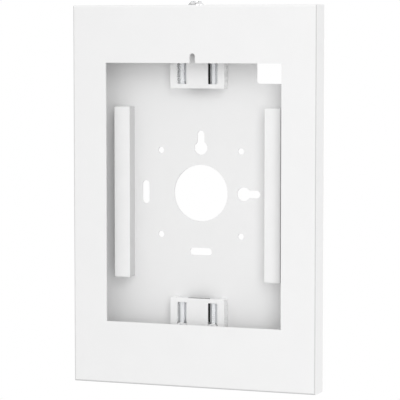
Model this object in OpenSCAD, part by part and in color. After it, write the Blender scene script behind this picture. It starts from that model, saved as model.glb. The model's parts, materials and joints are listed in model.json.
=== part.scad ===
// Lockable wall mount for a tablet of about eleven inches, upright.
// The origin is the centre of the cable hole on the face that lies on the wall,
// behind the middle of the window.
// +Z is up, the wall is the plane Y = 0 and the front looks towards -Y.
// A folded tray is screwed to the wall. The lower fold of a folded cover hangs
// on two hooks of the tray, so that the cover swings open and shut on them.
// A cam lock in the cover's top holds it shut.

/* [Case] */
// Width of the cover
case_w = 226; // [210:1:250]
// Height of the cover
case_h = 336; // [325:1:365]
// Distance from the wall to the front of the cover
case_d = 23.5; // [23:0.5:28]
// Thickness of both folded sheets
sheet_t = 1.5; // [1.2:0.1:1.8]
// Inner radius of the folds
fold_r = 0.6; // [0.3:0.1:1.2]
// Gap between the folds of the cover and those of the tray
fold_gap = 0.8; // [0.6:0.1:1.2]
// Gap between the rear edge of the cover and the wall
wall_gap = 1.5; // [1:0.5:2.5]
// Gap between the front edge of the tray and the inside of the cover
tray_gap = 2; // [1.5:0.5:2.5]

/* [Window] */
// Width of the cover's frame on each side of the window
side_border = 31.5; // [28:0.5:40]
// Height of the cover's frame above the window
top_border = 50.5; // [50:0.5:60]
// Height of the cover's frame below the window
low_border = 55.5; // [50:0.5:65]
// Width of the notch for the front camera
notch_w = 5; // [3:0.5:8]
// Height of the notch above the window
notch_h = 8.5; // [5:0.5:14]

/* [Wall fixing] */
// Spacing of the square pattern of four holes
grid = 75; // [72:1:78]
// Diameter of the four holes
grid_hole_d = 5.5; // [4:0.5:6.5]
// Diameter of the cable hole
cable_d = 50; // [30:1:54]
// Distance from the origin to the round end of each keyhole
key_at = 40; // [38:1:42]
// Diameter of the round end of each keyhole
key_d = 12; // [9:0.5:13]
// Distance from the origin to the narrow ends and to the plain slots
slot_at = 52; // [50:1:56]
// Width of the keyhole necks and of the plain slots
slot_w = 6.5; // [4.5:0.5:8]
// Length of the plain slots
slot_l = 20.5; // [14:0.5:26]

/* [Camera opening] */
// Distance from the side of the cover to the opening for the rear camera
eye_side = 21; // [14:1:30]
// Distance from the top of the cover to the opening for the rear camera
eye_top = 34.5; // [20:0.5:45]
// Width of the opening for the rear camera
eye_w = 40; // [20:1:44]
// Height of the opening for the rear camera
eye_h = 34; // [20:1:40]
// Corner radius of the opening for the rear camera
eye_r = 2; // [1:0.5:5]

/* [Foam bars] */
// Distance from the side of the cover to the inner face of a foam bar
foam_in = 50.2; // [46:0.2:54]
// Width of a foam bar
foam_w = 15; // [8:0.5:20]
// Length of a foam bar
foam_l = 152.5; // [100:0.5:170]
// Thickness of a foam bar
foam_t = 12; // [11.95:0.05:12.5]

/* [Brackets] */
// How far a bracket reaches past the edge of the window
bracket_reach = 22.3; // [21:0.1:25]
// Width of a bracket
bracket_w = 50; // [46:0.5:58]
// Height of the bracket's face above the tray
face_h = 9.5; // [9:0.1:9.6]
// Thickness of the bracket's face
skin_t = 0.9; // [0.8:0.1:1.4]
// Distance of each slot's middle from the middle of the bracket
guide_x = 14.65; // [14.45:0.05:14.85]
// Width of a slot between the roots of its teeth and its plain side
guide_w = 9.2; // [9:0.1:9.6]
// Web between the bracket's inner end and its slots
guide_web = 3.8; // [2:0.2:5]
// Pitch of the rack teeth
tooth_pitch = 1.75; // [1.5:0.05:2]
// Height of the rack teeth
tooth_h = 0.8; // [0.4:0.1:0.9]
// Height of the ribs on the outer sides of a bracket
side_rib_h = 0.4; // [0.2:0.1:0.8]
// Thickness of the black glide block under the bracket's face
glide_h = 5; // [3:0.1:6]
// Length of the glide block
glide_l = 20.6; // [10:0.1:21]
// Distance from the edge of the window out to a claw's rubber pad
claw_out = 11.5; // [11.3:0.1:13]
// Thickness of the claw wall
claw_t = 2.5; // [1.5:0.1:3.5]
// Gap between the claw and the inside of the cover
claw_gap = 1.2; // [0.8:0.1:2]
// Thickness of the rubber pad on a claw
claw_pad_t = 2; // [1:0.1:2.5]

/* [Clamps] */
// Distance from the edge of the window out to the clamp screws
clamp_out = 4.3; // [3.5:0.1:4.5]
// Diameter of the clamp blocks' round flange
clamp_d = 10; // [9.6:0.1:10.4]
// Thickness of that flange
clamp_t = 0.8; // [0.6:0.1:0.9]
// Diameter of the clamp screws' thread
screw_d = 4; // [3:0.5:4]
// Diameter of the clamp screws' head
screw_head_d = 7; // [6.5:0.1:7.4]
// Thickness of the clamp screws' head
screw_head_t = 1.3; // [0.8:0.1:1.3]
// Width of a guide rail
rail_w = 3; // [2.4:0.1:3.6]
// Height of the bed between a guide rail and the plain side of its slot
inner_bed_h = 4.2; // [2:0.1:6]
// Height of the bed between a guide rail and the teeth
outer_bed_h = 5.4; // [2:0.1:7]
// Depth of the guide rail's top below the bracket's face
rail_low = 1.6; // [1.5:0.1:2.4]
// Thickness of the guide's base plate
base_t = 1.2; // [0.8:0.1:1.6]

/* [Hooks] */
// Distance of each hook from the middle of the cover
hook_x = 70; // [40:1:90]
// Width of a hook
hook_w = 20; // [12:1:36]
// Depth of the strip of the cover's lower fold that lies on the hooks
strip_w = 3; // [2.5:0.1:3.2]
// Length of the slots in front of that strip
hook_slot_l = 4.7; // [4.6:0.1:6]
// Length of the window in the tray from which a hook is bent
hook_window_l = 8.5; // [7:0.5:10]

/* [Lock] */
// Distance from the wall to the axis of the lock
lock_y = 13.2; // [12.8:0.1:13.4]
// Largest diameter of the lock's bezel
bezel_d = 14; // [13.4:0.1:17]
// Height of the bezel above the cover
bezel_h = 3.5; // [3:0.1:5]
// Radius of the hollow flare round the bezel
bezel_flare_r = 5; // [4:0.5:10]
// Diameter of the lock's threaded barrel
barrel_d = 11.8; // [10:0.1:12.2]
// Length of the barrel below the bezel
barrel_l = 14; // [12:0.5:18]
// Diameter of the plug that the key turns
plug_d = 8; // [6:0.1:8.4]
// Thickness of the cam
cam_t = 2; // [1.5:0.1:3]
// Half width of the cam's arm
cam_half_w = 4.5; // [3.5:0.1:4.8]
// Reach of the cam's arm from the axis of the lock
cam_reach = 10.8; // [9.5:0.1:10.8]

/* [Hidden] */
$fn = 64;

// Small length by which a cut runs past the solid that it cuts
over = 1;
// Clearance between pieces that move past each other
run_gap = 0.3;
// Clearance all round a screw or barrel in its hole
screw_gap = 0.05;
// Clearance all round the plug in its barrel
plug_gap = 0.08;

window_w = case_w - 2 * side_border;
window_h = case_h - top_border - low_border;
case_top = window_h / 2 + top_border;
case_low = -window_h / 2 - low_border;
fold_outer_r = fold_r + sheet_t;

tray_w = case_w - 2 * (sheet_t + fold_gap);
tray_top = case_top - sheet_t - fold_gap;

// The cover turns about the middle of its strip, clear of tray and hook all round
pivot_y = -wall_gap - strip_w / 2;
pivot_z = case_low + sheet_t / 2;
strip_r = sqrt(pow(strip_w, 2) + pow(sheet_t, 2)) / 2;
turn_room = strip_r + run_gap;
tray_low = pivot_z + turn_room;
hook_back = pivot_y - turn_room;
foot_top = pivot_z - turn_room;
foot_reach = 1;
foot_end = pivot_y + foot_reach;
hook_side_gap = 0.8;

tray_d = case_d - sheet_t - tray_gap;
corner_slit = 0.5;
corner_slit_l = 8;

// Free height over the tray's plate, up to the inside of the cover
bay_h = case_d - 2 * sheet_t;

bracket_in = window_h / 2 - bracket_reach;
claw_in = window_h / 2 + claw_out;
clamp_at = window_h / 2 + clamp_out;
guide_in = bracket_in + guide_web;
claw_wall_in = claw_in + claw_pad_t;
bracket_out = claw_wall_in + claw_t;
guide_end_web = 0.7;
guide_out = claw_wall_in - guide_end_web;
guide_root = guide_x + guide_w / 2;
guide_side = guide_x - guide_w / 2;
tooth_count = floor((guide_out - guide_in) / tooth_pitch);
tooth_sink = 0.05;
// Where a tooth's top starts, where it ends and where its foot ends, in shares of the pitch
tooth_rise = 0.3;
tooth_fall = 0.5;
tooth_foot = 0.8;
claw_h = bay_h - claw_gap;
claw_pad_side = 2;
claw_pad_w = bracket_w - 2 * claw_pad_side;
bracket_corner_r = 0.6;
gusset_l = 4;
gusset_t = 2;
glide_inset = 0.3;
glide_top = face_h - skin_t;

// The parts under each bracket, measured up from the tray's plate
standoff_d = 7;
base_half_w = guide_root - tooth_h - run_gap;
base_inset = 1.8;
base_rim = 1;
base_in = bracket_in + base_inset;
base_out = clamp_at + standoff_d / 2 + base_rim;
block_l = 8;
block_h = 3;
block_low = face_h + run_gap - block_h;
block_top = face_h + run_gap + clamp_t;
claw_pad_low = block_top + run_gap;
rail_in = base_in + base_rim;
inner_bed_gap = 3;
rail_out = clamp_at - standoff_d / 2 - base_rim;
rail_notch = 0.35;
screw_tip_gap = 1;
screw_tip = base_t + screw_tip_gap;
socket_across = 2.5;
socket_share = 0.7;
socket_deep = screw_head_t * socket_share;

lock_top = case_top + bezel_h;
barrel_low = case_top - barrel_l;
bezel_rim_t = 0.5;
bezel_slope_w = 2.6;
bezel_top_r = bezel_d / 2 - bezel_slope_w;
nut_across = 14;
nut_t = 3;
nut_room = 1.4;
nut_low = case_top - sheet_t - nut_t;
cam_top = barrel_low - run_gap;
cam_low = cam_top - cam_t;
cam_square = 5;
cam_screw_d = 3;
cam_screw_l = 8;
cam_screw_head_d = 6.5;
cam_screw_head_t = 2;
key_slot_l = 5.5;
key_slot_w = 1.2;
key_slot_deep = 6;
barrel_room = 0.9;
strike_half_w = 30;
strike_under = 1.5;
strike_low = cam_low - strike_under;

// A rectangle with its length along X and round ends
module oblong(l, w) {
    square([l - w, w], center = true);
    for (side = [-1, 1])
        translate([side * (l - w) / 2, 0]) circle(d = w);
}

// A rectangle with round corners, by its lower left corner and its size
module round_rect(x, y, w, h, r) {
    translate([x + r, y]) square([w - 2 * r, h]);
    translate([x, y + r]) square([w, h - 2 * r]);
    for (cx = [x + r, x + w - r], cy = [y + r, y + h - r])
        translate([cx, cy]) circle(r = r);
}

// An outline drawn in X and Z, given thickness from one height over the plate to another
module over_plate(from, to) {
    translate([0, -sheet_t - from, 0])
        rotate([90, 0, 0]) linear_extrude(to - from) children();
}

// The same on both sides of the middle
module both_sides() {
    children();
    mirror([1, 0, 0]) children();
}

// A rectangle from y = 0 to y = depth whose two corners at y = 0 are round
module fold_outline(width, depth, r) {
    translate([-width / 2, r]) square([width, depth - r]);
    translate([r - width / 2, 0]) square([width - 2 * r, depth]);
    for (side = [-1, 1])
        translate([side * (width / 2 - r), r]) circle(r = r);
}

// A block whose four edges at y = 0 are round, as those of a folded box
module folded_block(width, low, top, depth, r) {
    intersection() {
        translate([0, 0, low])
            linear_extrude(top - low) fold_outline(width, depth, r);
        translate([-width / 2, 0, (low + top) / 2])
            rotate([90, 0, 90]) linear_extrude(width)
                rotate(-90) fold_outline(top - low, depth, r);
    }
}

// The holes through the plate that fix the tray to a wall or an arm
module wall_holes() {
    for (x = [-1, 1], z = [-1, 1])
        translate([x * grid / 2, z * grid / 2]) circle(d = grid_hole_d);
    circle(d = cable_d);
    for (turn = [0, 90])
        rotate(turn) keyhole();
    translate([-slot_at, 0]) rotate(90) oblong(slot_l, slot_w);
    translate([0, -slot_at]) oblong(slot_l, slot_w);
}

module keyhole() {
    translate([key_at, 0]) circle(d = key_d);
    translate([key_at, -slot_w / 2]) square([slot_at - key_at, slot_w]);
    translate([slot_at, 0]) circle(d = slot_w);
}

// Slits where two folds of the tray meet at a corner
module corner_slits() {
    for (side = [-1, 1], z = [tray_low, tray_top])
        translate([side * tray_w / 2, -tray_d / 2 - fold_outer_r, z])
            rotate([0, 45 * side * sign(z), 0])
                cube([corner_slit, tray_d, corner_slit_l], center = true);
}

// Way out to the front for the lock's nut, barrel and cam
module lock_way() {
    nut_half = nut_across / 2 / cos(30) + nut_room;
    barrel_half = barrel_d / 2 + barrel_room;
    translate([0, -lock_y, nut_low - nut_room])
        cylinder(r = nut_half, h = 3 * nut_t);
    translate([-nut_half, -tray_d - over, nut_low - nut_room])
        cube([2 * nut_half, tray_d + over - lock_y, 3 * nut_t]);
    translate([-barrel_half, -tray_d - over, strike_low - over])
        cube([2 * barrel_half, 3 * sheet_t, tray_top - strike_low]);
}

// Return fold along the front of the tray's top, which the cam catches
module strike() {
    translate([-strike_half_w, -tray_d, strike_low])
        cube([2 * strike_half_w, sheet_t, tray_top - strike_low - fold_outer_r]);
    translate([-strike_half_w, -tray_d, tray_top])
        rotate([90, 0, 90]) linear_extrude(2 * strike_half_w) intersection() {
            translate([0, -fold_outer_r]) square(fold_outer_r);
            translate([fold_outer_r, -fold_outer_r]) difference() {
                circle(r = fold_outer_r);
                circle(r = fold_r);
            }
        }
}

// Room over the strike's round fold, so that the fold shows its true radius
module strike_round() {
    translate([-strike_half_w, -tray_d, tray_top])
        rotate([90, 0, 90]) linear_extrude(2 * strike_half_w) difference() {
            translate([-over, -fold_outer_r]) square(fold_outer_r + over);
            translate([fold_outer_r, -fold_outer_r]) circle(r = fold_outer_r);
        }
}

module back_tray() {
    color("whitesmoke") difference() {
        union() {
            difference() {
                mirror([0, 1, 0])
                    folded_block(tray_w, tray_low, tray_top, tray_d, fold_outer_r);
                translate([0, -sheet_t, 0]) mirror([0, 1, 0])
                    folded_block(tray_w - 2 * sheet_t, tray_low + sheet_t,
                        tray_top - sheet_t, tray_d, fold_r);
                strike_round();
            }
            strike();
        }
        translate([0, over, 0]) over_plate(-sheet_t, over + over) {
            wall_holes();
            round_rect(case_w / 2 - eye_side - eye_w, case_top - eye_top - eye_h, eye_w, eye_h, eye_r);
        }
        corner_slits();
        lock_way();
        for (side = [-1, 1])
            hook_cut(side * hook_x, hook_back + fold_r, hook_window_l, tray_low);
    }
    color("whitesmoke") for (side = [-1, 1])
        translate([side * hook_x - hook_w / 2, 0, 0])
            rotate([90, 0, 90]) linear_extrude(hook_w) hook_outline();
}

// Cut through a lower fold beside a hook, from its rear end forward
module hook_cut(x, rear, length, low) {
    half = hook_w / 2 + hook_side_gap;
    translate([x - half, rear - length, low - over])
        cube([2 * half, length, sheet_t + 2 * over]);
}

// One corner of a hook, as a quarter of a ring on the side of -Y
module hook_bend(y, z, up) {
    translate([y, z]) intersection() {
        difference() {
            circle(r = fold_outer_r);
            circle(r = fold_r);
        }
        translate([-fold_outer_r, up ? 0 : -fold_outer_r]) square(fold_outer_r);
    }
}

// A hook of the tray, seen along X: down through the cover and back under its strip
module hook_outline() {
    centre = hook_back + fold_r;
    hook_bend(centre, tray_low - fold_r, true);
    hook_bend(centre, foot_top + fold_r, false);
    translate([hook_back - sheet_t, foot_top + fold_r])
        square([sheet_t, tray_low - foot_top - 2 * fold_r]);
    translate([centre, foot_top - sheet_t]) square([foot_end - centre, sheet_t]);
}

module front_cover() {
    color("white") difference() {
        translate([0, -case_d, 0])
            folded_block(case_w, case_low, case_top, case_d - wall_gap, fold_outer_r);
        translate([0, sheet_t - case_d, 0])
            folded_block(case_w - 2 * sheet_t, case_low + sheet_t, case_top - sheet_t, case_d, fold_r);
        translate([0, sheet_t + over - case_d, 0])
            rotate([90, 0, 0]) linear_extrude(sheet_t + 2 * over) window();
        translate([0, -lock_y, case_top - 2 * sheet_t])
            cylinder(d = barrel_d + 2 * screw_gap, h = 3 * sheet_t);
        for (side = [-1, 1])
            hook_cut(side * hook_x, -wall_gap - strip_w, hook_slot_l, case_low);
    }
}

// The opening for the screen with the notch for the tablet's camera above it
module window() {
    square([window_w, window_h], center = true);
    translate([-notch_w / 2, window_h / 2 - over])
        square([notch_w, notch_h - notch_w / 2 + over]);
    translate([0, window_h / 2 + notch_h - notch_w / 2]) circle(d = notch_w);
}

module foam_bar() {
    over_plate(0, foam_t)
        translate([case_w / 2 - foam_in, -foam_l / 2]) square([foam_w, foam_l]);
}

module left_foam_bar() { color("white") mirror([1, 0, 0]) foam_bar(); }
module right_foam_bar() { color("white") foam_bar(); }

// One tooth that stands on a line along Z at x = root and points to x = tip
module tooth(root, tip, z) {
    foot = root - sign(tip - root) * tooth_sink;
    translate([0, z]) polygon([[foot, 0], [tip, tooth_rise * tooth_pitch],
        [tip, tooth_fall * tooth_pitch], [foot, tooth_foot * tooth_pitch]]);
}

// The row of rack teeth on the outer side of the right-hand slot
module rack_teeth(root, tip) {
    for (i = [0:tooth_count - 1])
        tooth(root, tip, guide_in + i * tooth_pitch);
}

// The sliding bracket: a thin face between two toothed side blocks, and a claw
module bracket() {
    half = bracket_w / 2;
    over_plate(face_h - skin_t, face_h) difference() {
        round_rect(-half, bracket_in, bracket_w, bracket_out - bracket_in, bracket_corner_r);
        both_sides() translate([guide_side, guide_in]) square([guide_w, guide_out - guide_in]);
    }
    both_sides() {
        over_plate(run_gap, face_h)
            round_rect(guide_root, bracket_in, half - guide_root, bracket_out - bracket_in, bracket_corner_r);
        over_plate(run_gap, face_h) {
            rack_teeth(guide_root, guide_root - tooth_h);
            rack_teeth(half, half + side_rib_h);
        }
        gusset();
    }
    over_plate(run_gap, claw_h)
        translate([-half, claw_wall_in]) square([bracket_w, claw_t]);
}

// A web that stiffens the claw from outside
module gusset() {
    translate([bracket_w / 2 - gusset_t, -sheet_t, bracket_out - bracket_corner_r])
        rotate([90, 0, 90]) linear_extrude(gusset_t)
            polygon([[-run_gap, 0], [-run_gap, gusset_l], [-face_h, gusset_l], [-claw_h, 0]]);
}

module top_bracket() { color("whitesmoke") bracket(); }
module bottom_bracket() { color("whitesmoke") mirror([0, 0, 1]) bracket(); }

module claw_pad() {
    over_plate(claw_pad_low, claw_h - run_gap)
        translate([-claw_pad_w / 2, claw_in]) square([claw_pad_w, claw_pad_t]);
}

module top_claw_pad() { color("gainsboro") claw_pad(); }
module bottom_claw_pad() { color("gainsboro") mirror([0, 0, 1]) claw_pad(); }

// The block between the slots on which the bracket glides, held under its face
module glide_block() {
    over_plate(glide_top - glide_h, glide_top)
        translate([-guide_side, bracket_in + glide_inset]) square([2 * guide_side, glide_l]);
}

module top_glide_block() { color("black") glide_block(); }
module bottom_glide_block() { color("black") mirror([0, 0, 1]) glide_block(); }

// One guide rail, seen from its side, with a notched top
module rail_outline() {
    rail_h = face_h - rail_low;
    count = floor((rail_out - rail_in) / tooth_pitch);
    points = [for (i = [1:2 * count - 1])
        [rail_in + i * tooth_pitch / 2, rail_h - (i % 2) * rail_notch]];
    polygon(concat([[rail_out, 0], [rail_in, 0], [rail_in, rail_h]], points, [[rail_out, rail_h]]));
}

module guide_rails() {
    over_plate(0, base_t)
        translate([-base_half_w, base_in]) square([2 * base_half_w, base_out - base_in]);
    both_sides() {
        translate([guide_x - rail_w / 2, -sheet_t, 0])
            mirror([0, 1, 0]) rotate([90, 0, 90]) linear_extrude(rail_w)
                mirror([1, -1]) rail_outline();
        bed(guide_side + run_gap, guide_x, rail_in + inner_bed_gap, inner_bed_h);
        bed(guide_x, base_half_w, rail_in, outer_bed_h);
    }
}

// A bed beside a guide rail, from one x to another and from one z to the rail's outer end
module bed(from, to, start, height) {
    over_plate(0, height) translate([from, start]) square([to - from, rail_out - start]);
}

module top_guide_rails() { color("lightsteelblue") guide_rails(); }
module bottom_guide_rails() { color("lightsteelblue") mirror([0, 0, 1]) guide_rails(); }

module standoffs() {
    both_sides() over_plate(base_t, block_low) translate([guide_x, clamp_at]) difference() {
        circle(d = standoff_d);
        circle(d = screw_d + 2 * screw_gap);
    }
}

module top_standoffs() { color("silver") standoffs(); }
module bottom_standoffs() { color("silver") mirror([0, 0, 1]) standoffs(); }

// The teeth of a clamp block, which lock into the rack when its screw is tight
module block_teeth(root, tip) {
    start = clamp_at - block_l / 2 + (1 - tooth_foot) * tooth_pitch;
    for (i = [0:floor(block_l / tooth_pitch) - 1])
        tooth(root, tip, start + i * tooth_pitch);
}

module clamp_blocks() {
    tip = guide_root - tooth_h - run_gap;
    root = tip - tooth_h;
    both_sides() {
        over_plate(block_low, block_top - clamp_t) difference() {
            union() {
                translate([guide_side + 2 * run_gap, clamp_at - block_l / 2])
                    square([root - guide_side - 2 * run_gap, block_l]);
                block_teeth(root, tip);
            }
            translate([guide_x, clamp_at]) circle(d = screw_d + 2 * screw_gap);
        }
        over_plate(block_top - clamp_t, block_top) translate([guide_x, clamp_at]) difference() {
            circle(d = clamp_d);
            circle(d = screw_d + 2 * screw_gap);
        }
    }
}

module top_clamp_blocks() { color("white") clamp_blocks(); }
module bottom_clamp_blocks() { color("white") mirror([0, 0, 1]) clamp_blocks(); }

module clamp_screws() {
    head_top = block_top + screw_head_t;
    both_sides() difference() {
        union() {
            over_plate(screw_tip, block_top + socket_deep)
                translate([guide_x, clamp_at]) circle(d = screw_d);
            over_plate(block_top, head_top)
                translate([guide_x, clamp_at]) circle(d = screw_head_d);
        }
        over_plate(head_top - socket_deep, head_top + over)
            translate([guide_x, clamp_at]) circle(d = socket_across / cos(30), $fn = 6);
    }
}

module top_clamp_screws() { color("silver") clamp_screws(); }
module bottom_clamp_screws() { color("silver") mirror([0, 0, 1]) clamp_screws(); }

// Outline of the bezel from the lock's axis outward, with its hollow flare
module bezel_outline() {
    rise = bezel_h - bezel_rim_t;
    run = bezel_d / 2 - bezel_top_r;
    chord = sqrt(pow(rise, 2) + pow(run, 2));
    sag = sqrt(pow(bezel_flare_r, 2) - pow(chord / 2, 2));
    difference() {
        square([bezel_d / 2, bezel_h]);
        translate([bezel_d / 2 - run / 2 + sag * rise / chord,
            bezel_h - rise / 2 + sag * run / chord]) circle(r = bezel_flare_r);
    }
}

// Bezel and threaded barrel of the lock, turned in one piece
module lock_barrel() {
    color("silver") translate([0, -lock_y, 0]) rotate_extrude() difference() {
        union() {
            translate([0, case_top]) bezel_outline();
            translate([0, barrel_low]) square([barrel_d / 2, barrel_l + bezel_rim_t]);
        }
        translate([-over, barrel_low - over])
            square([plug_d / 2 + plug_gap + over, barrel_l + bezel_h + 2 * over]);
    }
}

module lock_nut() {
    color("silver") translate([0, -lock_y, nut_low]) difference() {
        cylinder(d = nut_across / cos(30), h = nut_t, $fn = 6);
        translate([0, 0, -over]) cylinder(d = barrel_d + 2 * screw_gap, h = nut_t + 2 * over);
    }
}

module lock_plug() {
    color("gray") translate([0, -lock_y, 0]) difference() {
        union() {
            translate([0, 0, cam_top])
                cylinder(d = plug_d, h = lock_top - run_gap - cam_top);
            translate([-cam_square / 2, -cam_square / 2, cam_low])
                cube([cam_square, cam_square, cam_t + over]);
        }
        translate([-key_slot_w / 2, -key_slot_l / 2, lock_top - key_slot_deep])
            cube([key_slot_w, key_slot_l, key_slot_deep + over]);
        translate([0, 0, cam_low - over])
            cylinder(d = cam_screw_d + 2 * screw_gap, h = cam_screw_l + 2 * over);
    }
}

// The cam points to the wall when it is clear of the strike, which is how it rests
module lock_cam() {
    hole = cam_square + 2 * screw_gap;
    color("lightgray") translate([0, -lock_y, cam_low]) linear_extrude(cam_t) difference() {
        union() {
            circle(d = barrel_d);
            translate([-cam_half_w, 0]) square([2 * cam_half_w, cam_reach - cam_half_w]);
            translate([0, cam_reach - cam_half_w]) circle(r = cam_half_w);
        }
        square(hole, center = true);
    }
}

module cam_screw() {
    color("silver") translate([0, -lock_y, 0]) {
        translate([0, 0, cam_low - cam_screw_head_t])
            cylinder(d = cam_screw_head_d, h = cam_screw_head_t);
        translate([0, 0, cam_low - over]) cylinder(d = cam_screw_d, h = cam_screw_l + over);
    }
}

back_tray();
front_cover();
left_foam_bar();
right_foam_bar();
top_bracket();
bottom_bracket();
top_claw_pad();
bottom_claw_pad();
top_glide_block();
bottom_glide_block();
top_guide_rails();
bottom_guide_rails();
top_standoffs();
bottom_standoffs();
top_clamp_blocks();
bottom_clamp_blocks();
top_clamp_screws();
bottom_clamp_screws();
lock_barrel();
lock_nut();
lock_plug();
lock_cam();
cam_screw();
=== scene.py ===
"""Looks of the tablet wall mount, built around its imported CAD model."""
import json
import math

import bmesh
import bpy
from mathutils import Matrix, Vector


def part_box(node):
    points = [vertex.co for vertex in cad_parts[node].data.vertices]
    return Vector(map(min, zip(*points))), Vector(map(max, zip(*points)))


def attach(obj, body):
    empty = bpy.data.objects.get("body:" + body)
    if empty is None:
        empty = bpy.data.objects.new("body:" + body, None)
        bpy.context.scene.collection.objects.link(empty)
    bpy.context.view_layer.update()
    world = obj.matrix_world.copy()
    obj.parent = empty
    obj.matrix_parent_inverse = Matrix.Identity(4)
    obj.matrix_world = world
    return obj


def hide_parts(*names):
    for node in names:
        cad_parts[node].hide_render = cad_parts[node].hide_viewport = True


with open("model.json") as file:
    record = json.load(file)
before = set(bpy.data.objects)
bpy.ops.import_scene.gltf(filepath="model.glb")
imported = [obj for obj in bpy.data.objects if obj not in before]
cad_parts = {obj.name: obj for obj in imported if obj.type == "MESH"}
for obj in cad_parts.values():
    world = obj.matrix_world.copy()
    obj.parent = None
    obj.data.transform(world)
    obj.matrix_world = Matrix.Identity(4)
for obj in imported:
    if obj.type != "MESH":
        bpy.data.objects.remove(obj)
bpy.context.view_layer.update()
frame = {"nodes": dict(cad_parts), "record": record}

MM = 0.001

# The camera, fitted to the photograph without lens shift: its place in millimetres in the
# part's frame, its angles in degrees, and its clip distances in metres
CAMERA_AT = (627.9, -1724.8, 140.6)
CAMERA_YAW = 20.042
CAMERA_PITCH = 4.573
FOCAL_PX = 2080.0
IMAGE_PX = 400
SENSOR_MM = 36.0
CLIP_NEAR = 0.05
CLIP_FAR = 20.0

# Room light: soft, and brightest towards the upper left
ROOM_MEAN = 0.672
ROOM_SWING = 0.335
ROOM_BRIGHT_AT = (-0.836, 0.0, 0.549)

# Square softboxes: degrees from the front towards the right, degrees up, and watts
SOFTBOXES = {
    "front_softbox": (35, 0, 6.4),
    "upper_softbox": (35, 35, 6.8),
    "side_softbox": (92, 0, 7.4),
}
SOFTBOX_SIDE = 1.0
SOFTBOX_AWAY = 2.0

# What glossy rays meet: an even room with upright dark cards in it, each with its
# degrees round from the front, half its width in degrees, and its darkness
GLOSSY_ROOM = 0.85
CARDS = ((-148, 12, 0.85), (-50, 8, 0.35), (86, 12, 0.35))

# Pale floor below the mount: its height and radius in metres, its corners and greys
FLOOR_Z = -0.42
FLOOR_R = 1.0
FLOOR_CORNERS = 96
FLOOR_GREY = (0.71, 0.74)

# Powder coat: its greys and roughness, the noise scales of its clouds and its grain,
# and the height of its relief in metres
COAT_GREY = (0.93, 0.94)
# A darker grey for the tray: painted shade for its recess behind the window
TRAY_SHADE_GREY = (0.91, 0.92)
COAT_ROUGH = (0.42, 0.56)
COAT_CLOUDS = 35.0
COAT_GRAIN = 1400.0
COAT_RELIEF = 0.00006

# Painted shade on folds: the normal's largest component at their edge and middle, its
# darkness, and the upward component from which a fold counts as lit from above and stays pale
FOLD_EDGE = 0.96
FOLD_MIDDLE = 0.72
FOLD_SHADE_DARKNESS = 0.42
FOLD_LIT = 0.3

# Foam bars: edge radius and hollow in millimetres, numbers of steps, and the angle in
# degrees from which an edge is sharp
FOAM_EDGE_R = 0.7
FOAM_HOLLOW = 0.15
FOAM_STEPS = 40
FOAM_SIDE_STEPS = 6
FOAM_ROUND_STEPS = 5
FOAM_CREASE = 50

# Foam: its greys, the noise scale of its grain, and the darkness of the painted shade on its
# left and right sides, which grows between two sideways components of the normal
FOAM_GREY = (0.94, 0.96)
FOAM_GRAIN = 2600.0
FOAM_SIDE_SHADE = 0.28
FOAM_SIDE_FROM = 0.5
FOAM_SIDE_FULL = 0.9

# Moulded plastic: share and depth in metres of the light that scatters inside, the noise
# scale of its grain, and how far its roughness swings
SCATTER_SHARE = 0.25
SCATTER_DEPTH = 0.0012
MOULD_GRAIN = 3000.0
MOULD_ROUGH_SWING = 0.06

# Glide blocks: black, but pale where the normal points to the left
GLIDE_BLACK = (0.012, 0.02)
GLIDE_PALE = 0.9
GLIDE_PALE_FROM = -0.5

# Rubber: its greys and the noise scale of its grain
RUBBER_GREY = (0.27, 0.33)
RUBBER_GRAIN = 2400.0

# Plated metal: the noise scale of its brushed lines, and the factors between which they
# change its roughness
BRUSH_LINES = 260.0
BRUSH_ROUGH_LOW = 0.7
BRUSH_ROUGH_HIGH = 1.3


def grey(value):
    return (value, value, value)


def new_material(name, color, rough, metal=0.0, specular=0.5):
    """A Principled material, its node tree and its shader node."""
    mat = bpy.data.materials.new(name)
    mat.use_nodes = True
    tree = mat.node_tree
    shader = tree.nodes["Principled BSDF"]
    shader.inputs["Base Color"].default_value = (*color, 1.0)
    shader.inputs["Roughness"].default_value = rough
    shader.inputs["Metallic"].default_value = metal
    shader.inputs["Specular IOR Level"].default_value = specular
    return mat, tree, shader


def object_noise(tree, scale, detail=2.0, stretch=(1.0, 1.0, 1.0)):
    """Noise in object coordinates, so that it stays on the piece."""
    coords = tree.nodes.new("ShaderNodeTexCoord")
    mapping = tree.nodes.new("ShaderNodeMapping")
    mapping.inputs["Scale"].default_value = stretch
    noise = tree.nodes.new("ShaderNodeTexNoise")
    noise.inputs["Scale"].default_value = scale
    noise.inputs["Detail"].default_value = detail
    tree.links.new(coords.outputs["Object"], mapping.inputs["Vector"])
    tree.links.new(mapping.outputs["Vector"], noise.inputs["Vector"])
    return noise


def tint(tree, shader, noise, low, high):
    """Base colour that wanders between two close colours."""
    ramp = tree.nodes.new("ShaderNodeValToRGB")
    ramp.color_ramp.elements[0].color = (*low, 1.0)
    ramp.color_ramp.elements[1].color = (*high, 1.0)
    ramp.color_ramp.elements[0].position = 0.3
    ramp.color_ramp.elements[1].position = 0.7
    tree.links.new(noise.outputs["Fac"], ramp.inputs["Fac"])
    tree.links.new(ramp.outputs["Color"], shader.inputs["Base Color"])


def roughen(tree, shader, noise, low, high):
    """Roughness that wanders between two values."""
    spread = tree.nodes.new("ShaderNodeMapRange")
    spread.inputs["To Min"].default_value = low
    spread.inputs["To Max"].default_value = high
    tree.links.new(noise.outputs["Fac"], spread.inputs["Value"])
    tree.links.new(spread.outputs["Result"], shader.inputs["Roughness"])


def relief(tree, shader, noise, strength, distance):
    """Fine bump from a noise."""
    bump = tree.nodes.new("ShaderNodeBump")
    bump.inputs["Strength"].default_value = strength
    bump.inputs["Distance"].default_value = distance
    tree.links.new(noise.outputs["Fac"], bump.inputs["Height"])
    tree.links.new(bump.outputs["Normal"], shader.inputs["Normal"])


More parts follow.
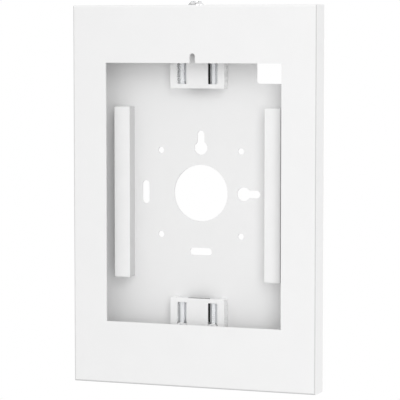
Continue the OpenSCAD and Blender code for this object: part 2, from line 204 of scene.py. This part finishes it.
def math_node(tree, operation, *values):
    """Output of a Math node whose inputs are sockets or numbers."""
    node = tree.nodes.new("ShaderNodeMath")
    node.operation = operation
    for i, value in enumerate(values):
        if isinstance(value, (int, float)):
            node.inputs[i].default_value = value
        else:
            tree.links.new(value, node.inputs[i])
    return node.outputs[0]


def parts_of(tree, vector):
    """The X, Y and Z sockets of a vector."""
    split = tree.nodes.new("ShaderNodeSeparateXYZ")
    tree.links.new(vector, split.inputs[0])
    return [split.outputs[axis] for axis in "XYZ"]


def own_normal(tree):
    """X, Y and Z of the normal in the piece's own frame."""
    coords = tree.nodes.new("ShaderNodeTexCoord")
    return parts_of(tree, coords.outputs["Normal"])


def largest_size(tree, sockets):
    """The largest absolute value of several sockets."""
    sizes = [math_node(tree, "ABSOLUTE", socket) for socket in sockets]
    result = sizes[0]
    for size in sizes[1:]:
        result = math_node(tree, "MAXIMUM", result, size)
    return result


def ramp_between(tree, value, start, end, top):
    """Rises from 0 at the start to its top at the end, and stays level outside."""
    spread = tree.nodes.new("ShaderNodeMapRange")
    spread.inputs["From Min"].default_value = start
    spread.inputs["From Max"].default_value = end
    spread.inputs["To Max"].default_value = top
    tree.links.new(value, spread.inputs["Value"])
    return spread.outputs["Result"]


def mix_color(tree, shader, amount, color):
    """The base colour mixed towards another by a socket's value."""
    flat_color = shader.inputs["Base Color"].links[0].from_socket
    mix = tree.nodes.new("ShaderNodeMix")
    mix.data_type = "RGBA"
    mix.inputs["B"].default_value = (*color, 1.0)
    tree.links.new(amount, mix.inputs["Factor"])
    tree.links.new(flat_color, mix.inputs["A"])
    tree.links.new(mix.outputs["Result"], shader.inputs["Base Color"])


def paint_fold_shade(tree, shader):
    """Painted shade on folds, where the piece's own normal lies between its axes."""
    normal = own_normal(tree)
    fold_shade = ramp_between(tree, largest_size(tree, normal), FOLD_EDGE, FOLD_MIDDLE, FOLD_SHADE_DARKNESS)
    not_lit = math_node(tree, "LESS_THAN", normal[2], FOLD_LIT)
    # painted shade: folds that do not face up are mixed towards black
    mix_color(tree, shader, math_node(tree, "MULTIPLY", fold_shade, not_lit), grey(0))


def paint_side_shade(tree, shader):
    """Painted shade on the left and right sides of a foam."""
    sideways = largest_size(tree, own_normal(tree)[:1])
    side_shade = ramp_between(tree, sideways, FOAM_SIDE_FROM, FOAM_SIDE_FULL, FOAM_SIDE_SHADE)
    # painted shade: the left and right sides are mixed towards black
    mix_color(tree, shader, side_shade, grey(0))


def powder_coat(name, greys):
    low, high = greys
    mat, tree, shader = new_material(name, grey(high), rough=0.5, specular=0.3)
    tint(tree, shader, object_noise(tree, COAT_CLOUDS), grey(low), grey(high))
    # painted shade along the folds of the coat
    paint_fold_shade(tree, shader)
    fine = object_noise(tree, COAT_GRAIN, detail=3.0)
    roughen(tree, shader, fine, *COAT_ROUGH)
    relief(tree, shader, fine, strength=0.10, distance=COAT_RELIEF)
    return mat


def foam():
    low, high = FOAM_GREY
    mat, tree, shader = new_material("white_foam", grey(high), rough=0.9, specular=0.15)
    tint(tree, shader, object_noise(tree, scale=60.0), grey(low), grey(high))
    # painted shade on the foam's left and right sides
    paint_side_shade(tree, shader)
    relief(tree, shader, object_noise(tree, FOAM_GRAIN, detail=4.0), strength=0.35, distance=0.00012)
    return mat


def moulded(name, low, high, rough):
    mat, tree, shader = new_material(name, high, rough, specular=0.4)
    shader.inputs["Subsurface Weight"].default_value = SCATTER_SHARE
    shader.inputs["Subsurface Radius"].default_value = (1, 1, 1)
    shader.inputs["Subsurface Scale"].default_value = SCATTER_DEPTH
    tint(tree, shader, object_noise(tree, scale=80.0), low, high)
    fine = object_noise(tree, MOULD_GRAIN)
    roughen(tree, shader, fine, rough - MOULD_ROUGH_SWING, rough + MOULD_ROUGH_SWING)
    relief(tree, shader, fine, strength=0.12, distance=0.00004)
    return mat


def plated(name, low, high, rough, stretch):
    mat, tree, shader = new_material(name, high, rough, metal=1.0)
    brushed = object_noise(tree, BRUSH_LINES, detail=3.0, stretch=stretch)
    tint(tree, shader, brushed, low, high)
    roughen(tree, shader, brushed, BRUSH_ROUGH_LOW * rough, BRUSH_ROUGH_HIGH * rough)
    return mat


def glide_plastic():
    """Black moulding with a pale left side, a guess from the light in the left slots."""
    low, high = GLIDE_BLACK
    mat, tree, shader = new_material("black_plastic", grey(high), rough=0.8, specular=0.25)
    tint(tree, shader, object_noise(tree, scale=90.0), grey(low), grey(high))
    leftward = math_node(tree, "LESS_THAN", own_normal(tree)[0], GLIDE_PALE_FROM)
    mix_color(tree, shader, leftward, grey(GLIDE_PALE))
    return mat


def rubber():
    low, high = RUBBER_GREY
    mat, tree, shader = new_material("grey_rubber", grey(high), rough=0.8, specular=0.25)
    tint(tree, shader, object_noise(tree, scale=90.0), grey(low), grey(high))
    relief(tree, shader, object_noise(tree, RUBBER_GRAIN), strength=0.3, distance=0.0001)
    return mat


MATERIALS = {
    "white_steel": powder_coat("powder_coat", COAT_GREY),
    "white_foam": foam(),
    "white_plastic": moulded("white_plastic", grey(0.95), grey(0.97), rough=0.45),
    "grey_plastic": moulded("grey_plastic", (0.90, 0.92, 0.94), (0.93, 0.95, 0.97), rough=0.40),
    "grey_rubber": rubber(),
    "black_plastic": glide_plastic(),
    "zinc_steel": plated("zinc_steel", (0.60, 0.61, 0.63), (0.72, 0.73, 0.74),
                         rough=0.32, stretch=(1, 1, 6)),
    "plated_zinc": plated("plated_zinc", (0.90, 0.90, 0.91), grey(0.96),
                          rough=0.12, stretch=(6, 6, 1)),
}
SLOT_OF = {part["node"]: part["material_slot"] for part in frame["record"]["subparts"]}
MATERIAL_OF = {node: MATERIALS[slot] for node, slot in SLOT_OF.items()}
# painted shade: the tray, in the recess behind the window, gets a darker grey
MATERIAL_OF["back_tray"] = powder_coat("tray_coat_painted_shade", TRAY_SHADE_GREY)

for node, obj in frame["nodes"].items():
    obj.data.materials.clear()
    obj.data.materials.append(MATERIAL_OF[node])


def foam_section(half_w, height, edge_r, hollow):
    """Outline of a cut bar across its length, from one foot round to the other."""
    points = []
    rise = height - edge_r
    for i in range(FOAM_SIDE_STEPS + 1):
        t = i / FOAM_SIDE_STEPS
        points.append((half_w - hollow * math.sin(math.pi * t), rise * t))
    for i in range(1, FOAM_ROUND_STEPS + 1):
        a = math.radians(90 * i / FOAM_ROUND_STEPS)
        points.append((half_w - edge_r + edge_r * math.cos(a), rise + edge_r * math.sin(a)))
    return points + [(-x, h) for x, h in reversed(points)]


def skin(mesh, rings):
    """Faces between rings of vertices, and over both ends."""
    for a, b in zip(rings, rings[1:]):
        for i in range(len(a)):
            j = (i + 1) % len(a)
            mesh.faces.new((a[i], a[j], b[j], b[i]))
    mesh.faces.new(list(reversed(rings[0])))
    mesh.faces.new(rings[-1])
    bmesh.ops.recalc_face_normals(mesh, faces=mesh.faces)


def new_object(name, mesh):
    """A linked object from a bmesh, which it frees."""
    data = bpy.data.meshes.new(name)
    mesh.to_mesh(data)
    mesh.free()
    obj = bpy.data.objects.new(name, data)
    bpy.context.collection.objects.link(obj)
    return obj


def foam_bar(name, node):
    """A die-cut foam bar in the place of its CAD solid, with soft edges and ends."""
    low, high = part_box(node)
    mid_x, half_w = (low.x + high.x) / 2, (high.x - low.x) / 2
    height, half_l = high.y - low.y, (high.z - low.z) / 2
    mid_z = (low.z + high.z) / 2
    edge_r = FOAM_EDGE_R * MM
    mesh = bmesh.new()
    rings = []
    for step in range(FOAM_STEPS + 1):
        along = -math.cos(math.pi * step / FOAM_STEPS)
        from_end = (1 - abs(along)) * half_l
        inset = edge_r * (1 - min(1.0, from_end / edge_r)) ** 2
        outline = foam_section(half_w - inset, height - inset, edge_r, FOAM_HOLLOW * MM)
        z = mid_z + half_l * along
        rings.append([mesh.verts.new((mid_x + x, high.y - h, z)) for x, h in outline])
    skin(mesh, rings)
    obj = new_object(name, mesh)
    for face in obj.data.polygons:
        face.use_smooth = True
    obj.data.materials.append(MATERIALS["white_foam"])
    edges = obj.modifiers.new("edges", "EDGE_SPLIT")
    edges.split_angle = math.radians(FOAM_CREASE)
    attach(obj, "tray")
    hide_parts(node)


def place_camera():
    data = bpy.data.cameras.new("camera")
    data.sensor_width = SENSOR_MM
    data.lens = FOCAL_PX / IMAGE_PX * SENSOR_MM
    data.clip_start = CLIP_NEAR
    data.clip_end = CLIP_FAR
    cam = bpy.data.objects.new("camera", data)
    cam.location = [c * MM for c in CAMERA_AT]
    cam.rotation_euler = (math.radians(90 - CAMERA_PITCH), 0, math.radians(CAMERA_YAW))
    bpy.context.collection.objects.link(cam)
    bpy.context.scene.camera = cam


def room_strength(tree, coords):
    """Light that grows from one side of the room to the other."""
    towards = tree.nodes.new("ShaderNodeVectorMath")
    towards.operation = "DOT_PRODUCT"
    towards.inputs[1].default_value = Vector(ROOM_BRIGHT_AT).normalized()
    tree.links.new(coords.outputs["Generated"], towards.inputs[0])
    spread = tree.nodes.new("ShaderNodeMapRange")
    spread.inputs["From Min"].default_value = -1.0
    spread.inputs["To Min"].default_value = ROOM_MEAN - ROOM_SWING
    spread.inputs["To Max"].default_value = ROOM_MEAN + ROOM_SWING
    tree.links.new(towards.outputs["Value"], spread.inputs["Value"])
    return spread.outputs["Result"]


def glossy_strength(tree, coords):
    """Even light with upright dark cards in it."""
    right, into_wall, _ = parts_of(tree, coords.outputs["Generated"])
    to_front = math_node(tree, "MULTIPLY", into_wall, -1.0)
    round_angle = math_node(tree, "ARCTAN2", right, to_front)
    strength = GLOSSY_ROOM
    for middle, half, darkness in CARDS:
        offset = math_node(tree, "SUBTRACT", round_angle, math.radians(middle))
        away = math_node(tree, "ABSOLUTE", offset)
        hit = math_node(tree, "LESS_THAN", away, math.radians(half))
        keep = math_node(tree, "SUBTRACT", 1.0, math_node(tree, "MULTIPLY", hit, darkness))
        strength = math_node(tree, "MULTIPLY", keep, strength)
    return strength


def studio():
    """The graded room, its look to glossy rays, and pure white behind the object."""
    world = bpy.data.worlds.new("studio")
    bpy.context.scene.world = world
    world.use_nodes = True
    tree = world.node_tree
    tree.nodes.clear()
    coords = tree.nodes.new("ShaderNodeTexCoord")
    path = tree.nodes.new("ShaderNodeLightPath")
    by_ray = tree.nodes.new("ShaderNodeMix")
    tree.links.new(path.outputs["Is Glossy Ray"], by_ray.inputs["Factor"])
    tree.links.new(room_strength(tree, coords), by_ray.inputs["A"])
    tree.links.new(glossy_strength(tree, coords), by_ray.inputs["B"])
    light = tree.nodes.new("ShaderNodeBackground")
    seen = tree.nodes.new("ShaderNodeBackground")
    for background in (light, seen):
        background.inputs["Color"].default_value = (1, 1, 1, 1)
    tree.links.new(by_ray.outputs["Result"], light.inputs["Strength"])
    seen.inputs["Strength"].default_value = 1.0
    mix = tree.nodes.new("ShaderNodeMixShader")
    tree.links.new(path.outputs["Is Camera Ray"], mix.inputs["Fac"])
    tree.links.new(light.outputs[0], mix.inputs[1])
    tree.links.new(seen.outputs[0], mix.inputs[2])
    out = tree.nodes.new("ShaderNodeOutputWorld")
    tree.links.new(mix.outputs[0], out.inputs["Surface"])


def softbox(name, round_deg, up_deg, watts):
    """A square soft lamp that looks at the mount's middle."""
    a, b = math.radians(round_deg), math.radians(up_deg)
    towards = Vector((math.sin(a) * math.cos(b), -math.cos(a) * math.cos(b), math.sin(b)))
    data = bpy.data.lights.new(name, "AREA")
    data.shape = "SQUARE"
    data.size = SOFTBOX_SIDE
    data.energy = watts
    obj = bpy.data.objects.new(name, data)
    obj.location = towards * SOFTBOX_AWAY
    obj.rotation_euler = (-towards).to_track_quat("-Z", "Y").to_euler()
    bpy.context.collection.objects.link(obj)


def floor():
    """A round pale floor under the mount."""
    mesh = bmesh.new()
    bmesh.ops.create_circle(mesh, cap_ends=True, segments=FLOOR_CORNERS, radius=FLOOR_R)
    obj = new_object("floor", mesh)
    obj.location.z = FLOOR_Z
    low, high = FLOOR_GREY
    mat, tree, shader = new_material("floor", grey(high), rough=0.8, specular=0.1)
    tint(tree, shader, object_noise(tree, scale=3.0), grey(low), grey(high))
    obj.data.materials.append(mat)


foam_bar("left_bar_foam", "left_foam_bar")
foam_bar("right_bar_foam", "right_foam_bar")
place_camera()
studio()
for box_name, box_values in SOFTBOXES.items():
    softbox(box_name, *box_values)
floor()

bpy.context.scene.view_settings.view_transform = "Standard"
